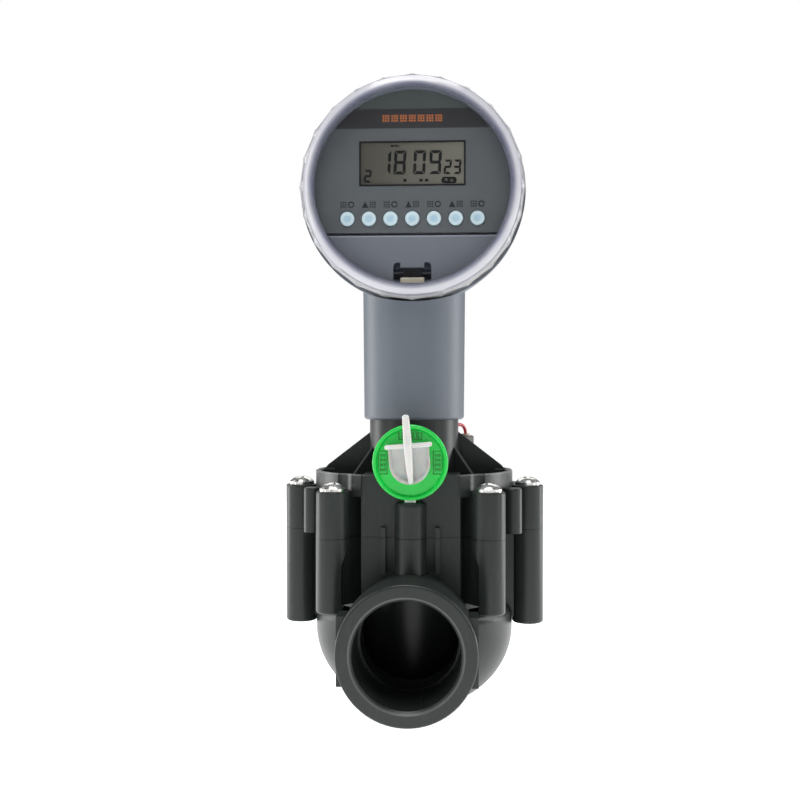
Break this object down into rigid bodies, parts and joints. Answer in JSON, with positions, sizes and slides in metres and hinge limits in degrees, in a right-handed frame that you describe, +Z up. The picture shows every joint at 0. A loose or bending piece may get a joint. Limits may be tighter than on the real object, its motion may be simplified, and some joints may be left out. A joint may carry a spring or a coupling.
{
  "type": "irrigation timer valve",
  "caption": "Battery irrigation timer: round clock head with clear screw cover on a stem, standing on a globe diaphragm valve with a manual selector.",
  "frame": {"origin": "on the flow axis, where the inlet bore's wall begins, 1.5 mm inside the port's face", "axes": "+Y along the flow from inlet to outlet, +Z up towards the timer head, +X to the right when the dial is faced"},
  "size_m": [0.1232, 0.167, 0.2964],
  "materials": {
    "black_plastic": "glass-filled nylon, fine moulded texture, satin",
    "grey_plastic": "blue-grey moulded plastic, satin",
    "panel_plastic": "dark grey printed front plate, matt",
    "door_plastic": "grey moulded plastic, satin",
    "latch_plastic": "pale cream plastic",
    "clear_plastic": "clear polycarbonate, polished",
    "green_plastic": "bright green moulded plastic, glossy",
    "white_plastic": "translucent white plastic",
    "button_plastic": "pale blue-grey plastic, satin",
    "steel": "zinc plated or stainless steel",
    "brass": "machined brass",
    "rubber": "black rubber",
    "lcd": "grey-green liquid crystal display",
    "dark_trim": "black trim",
    "solenoid_resin": "grey-brown moulded case",
    "copper_coil": "varnished copper winding",
    "board_green": "glass-fibre circuit board",
    "component_black": "moulded electronic parts",
    "red_insulation": "red wire insulation",
    "black_insulation": "black wire insulation",
    "cream_plastic": "pale cream grommet",
    "battery_jacket": "plain dark battery jacket"
  },
  "bodies": {
    "valve": {"valve_body": "black_plastic", "bonnet": "black_plastic", "bonnet_screws": "steel", "threaded_inserts": "brass", "diaphragm": "rubber", "main_spring": "steel", "selector_dial": "green_plastic", "dial_key": "white_plastic", "solenoid_case": "solenoid_resin", "solenoid_coil": "copper_coil", "solenoid_core_tube": "steel", "solenoid_o_ring": "rubber", "plunger_spring": "steel", "lead_grommets": "cream_plastic", "red_lead": "red_insulation", "black_lead": "black_insulation", "timer_housing": "grey_plastic", "stem_o_ring": "rubber", "face_panel": "panel_plastic", "lcd_frame": "dark_trim", "lcd_glass": "lcd", "lcd_holder": "dark_trim", "contact_strips": "rubber", "circuit_board": "board_green", "board_components": "component_black", "key_switches": "component_black", "board_screws": "steel", "door_hinge_pins": "steel", "battery": "battery_jacket", "battery_terminals": "steel", "battery_snap": "component_black"},
    "diaphragm_lift": {"diaphragm_plate": "black_plastic", "diaphragm_guide": "steel", "diaphragm_retainer": "steel", "retainer_screw": "steel"},
    "selector": {"selector_handle": "white_plastic", "selector_spindle": "brass", "selector_o_rings": "rubber"},
    "plunger": {"solenoid_plunger": "steel", "plunger_seal": "rubber"},
    "battery_door": {"battery_door": "door_plastic", "latch_leaf": "steel"},
    "battery_latch": {"battery_latch": "latch_plastic"},
    "cover_travel": {"cover_seal": "rubber"},
    "clear_cover": {"clear_cover": "clear_plastic"},
    "button_1": {"button_1": "button_plastic"},
    "button_2": {"button_2": "button_plastic"},
    "button_3": {"button_3": "button_plastic"},
    "button_4": {"button_4": "button_plastic"},
    "button_5": {"button_5": "button_plastic"},
    "button_6": {"button_6": "button_plastic"},
    "button_7": {"button_7": "button_plastic"}
  },
  "joints": [
    {"name": "diaphragm_lift", "type": "slide", "parent": "valve", "child": "diaphragm_lift", "axis": [0, 0, 1], "range_m": [0, 0.008], "stiffness_N_per_m": 300, "deforming": ["diaphragm", "main_spring"]},
    {"name": "plunger_lift", "type": "slide", "parent": "valve", "child": "plunger", "axis": [0, 0, 1], "range_m": [0, 0.0015], "stiffness_N_per_m": 200, "deforming": ["plunger_spring"]},
    {"name": "selector_turn", "type": "hinge", "parent": "valve", "child": "selector", "pos_m": [0, 0.0364, 0.0763], "axis": [0, -1, 0], "range_deg": [-94.5, 85.5]},
    {"name": "battery_door_swing", "type": "hinge", "parent": "valve", "child": "battery_door", "pos_m": [0, 0.0628, 0.1791], "axis": [-1, 0, 0], "range_deg": [0, 12]},
    {"name": "battery_latch_slide", "type": "slide", "parent": "battery_door", "child": "battery_latch", "axis": [0, 0, 1], "range_m": [0, 0.0015], "stiffness_N_per_m": 400},
    {"name": "cover_travel", "type": "slide", "parent": "valve", "child": "cover_travel", "axis": [0, -1, 0], "range_m": [0, 0.003]},
    {"name": "cover_unscrew", "type": "hinge", "parent": "cover_travel", "child": "clear_cover", "pos_m": [0, 0.054, 0.2015], "axis": [0, -1, 0], "range_deg": [0, 360]},
    {"name": "button_1_press", "type": "slide", "parent": "valve", "child": "button_1", "axis": [0, 1, 0], "range_m": [0, 0.0008], "stiffness_N_per_m": 500},
    {"name": "button_2_press", "type": "slide", "parent": "valve", "child": "button_2", "axis": [0, 1, 0], "range_m": [0, 0.0008], "stiffness_N_per_m": 500},
    {"name": "button_3_press", "type": "slide", "parent": "valve", "child": "button_3", "axis": [0, 1, 0], "range_m": [0, 0.0008], "stiffness_N_per_m": 500},
    {"name": "button_4_press", "type": "slide", "parent": "valve", "child": "button_4", "axis": [0, 1, 0], "range_m": [0, 0.0008], "stiffness_N_per_m": 500},
    {"name": "button_5_press", "type": "slide", "parent": "valve", "child": "button_5", "axis": [0, 1, 0], "range_m": [0, 0.0008], "stiffness_N_per_m": 500},
    {"name": "button_6_press", "type": "slide", "parent": "valve", "child": "button_6", "axis": [0, 1, 0], "range_m": [0, 0.0008], "stiffness_N_per_m": 500},
    {"name": "button_7_press", "type": "slide", "parent": "valve", "child": "button_7", "axis": [0, 1, 0], "range_m": [0, 0.0008], "stiffness_N_per_m": 500}
  ],
  "couplings": [
    {"joint": "cover_travel", "follows": "cover_unscrew", "m_per_rad": 0.00047746}
  ]
}
